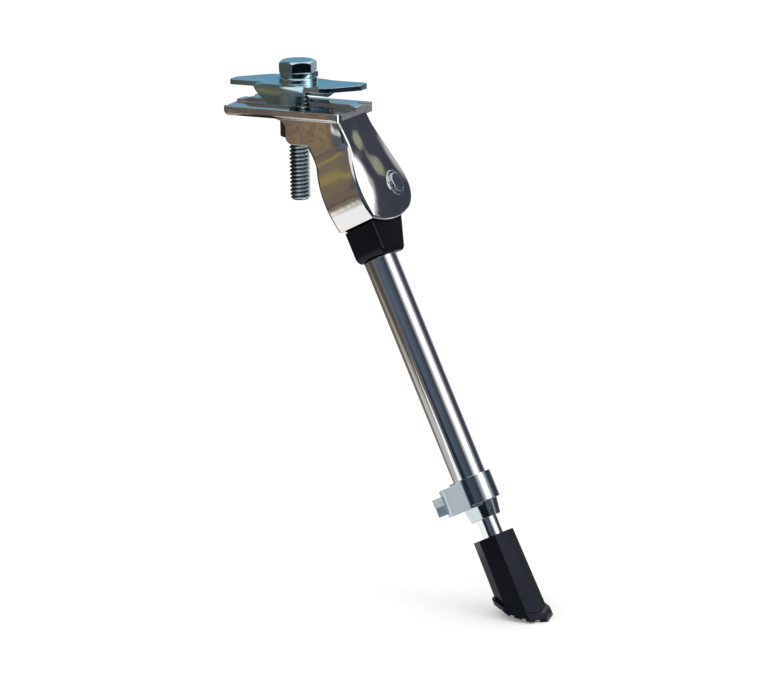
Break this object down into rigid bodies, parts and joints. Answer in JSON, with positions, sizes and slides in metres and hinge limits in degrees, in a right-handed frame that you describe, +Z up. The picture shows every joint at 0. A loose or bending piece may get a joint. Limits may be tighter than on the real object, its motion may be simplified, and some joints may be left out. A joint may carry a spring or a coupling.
{
  "type": "bicycle kickstand",
  "caption": "Bicycle kickstand with a cast clamp bracket, a bolted clamp plate and a folding telescopic leg that ends in a bevelled black foot.",
  "frame": {"origin": "on the mounting bolt's axis, on the plane of the bracket's seat rims", "axes": "+X to the leg's side, +Y rearward along the bicycle, +Z up along the mounting bolt"},
  "size_m": [0.1809, 0.0687, 0.2476],
  "materials": {
    "polished_cast": "polished",
    "stud_steel": "satin",
    "black_cast": "satin",
    "bright_tube": "bright",
    "spring_wire": "plain",
    "inner_plastic": "matt",
    "zinc": "satin zinc",
    "bright_zinc": "bright zinc",
    "black_plastic": "satin"
  },
  "bodies": {
    "frame": {"bracket": "polished_cast", "pivot_stud_outer": "stud_steel", "pivot_stud_inner": "stud_steel"},
    "leg": {"leg_head": "black_cast", "leg_tube": "bright_tube", "tension_spring": "spring_wire", "spring_plug": "inner_plastic", "adjuster_collar": "zinc"},
    "adjuster": {"adjuster_bolt": "zinc"},
    "extension": {"extension_rod": "bright_tube", "rod_guide": "inner_plastic", "foot": "black_plastic"},
    "clamp": {"clamp_plate": "bright_zinc", "lock_washer": "bright_zinc"},
    "bolt": {"mounting_bolt": "bright_zinc"}
  },
  "joints": [
    {"name": "leg_fold", "type": "hinge", "parent": "frame", "child": "leg", "pos_m": [0.0376, 0.0069, -0.0407], "axis": [0.8878, 0, 0.4602], "range_deg": [0, 95], "deforming": ["tension_spring"]},
    {"name": "leg_extension", "type": "slide", "parent": "leg", "child": "extension", "axis": [0.4577, -0.1045, -0.883], "range_m": [-0.007, 0.04]},
    {"name": "set_bolt_turn", "type": "hinge", "parent": "leg", "child": "adjuster", "pos_m": [0.10567, -0.03046, -0.17201], "axis": [-0.7581, -0.5647, -0.3261], "range_deg": [0, 360]},
    {"name": "clamp_lift", "type": "slide", "parent": "frame", "child": "clamp", "axis": [0, 0, 1], "range_m": [-0.0012, 0.012]},
    {"name": "bolt_turn", "type": "hinge", "parent": "clamp", "child": "bolt", "pos_m": [0, 0, 0.016], "axis": [0, 0, 1], "range_deg": [-240, 2290]}
  ],
  "couplings": [
    {"joint": "bolt_turn", "follows": "clamp_lift", "rad_per_m": 3306.9}
  ]
}
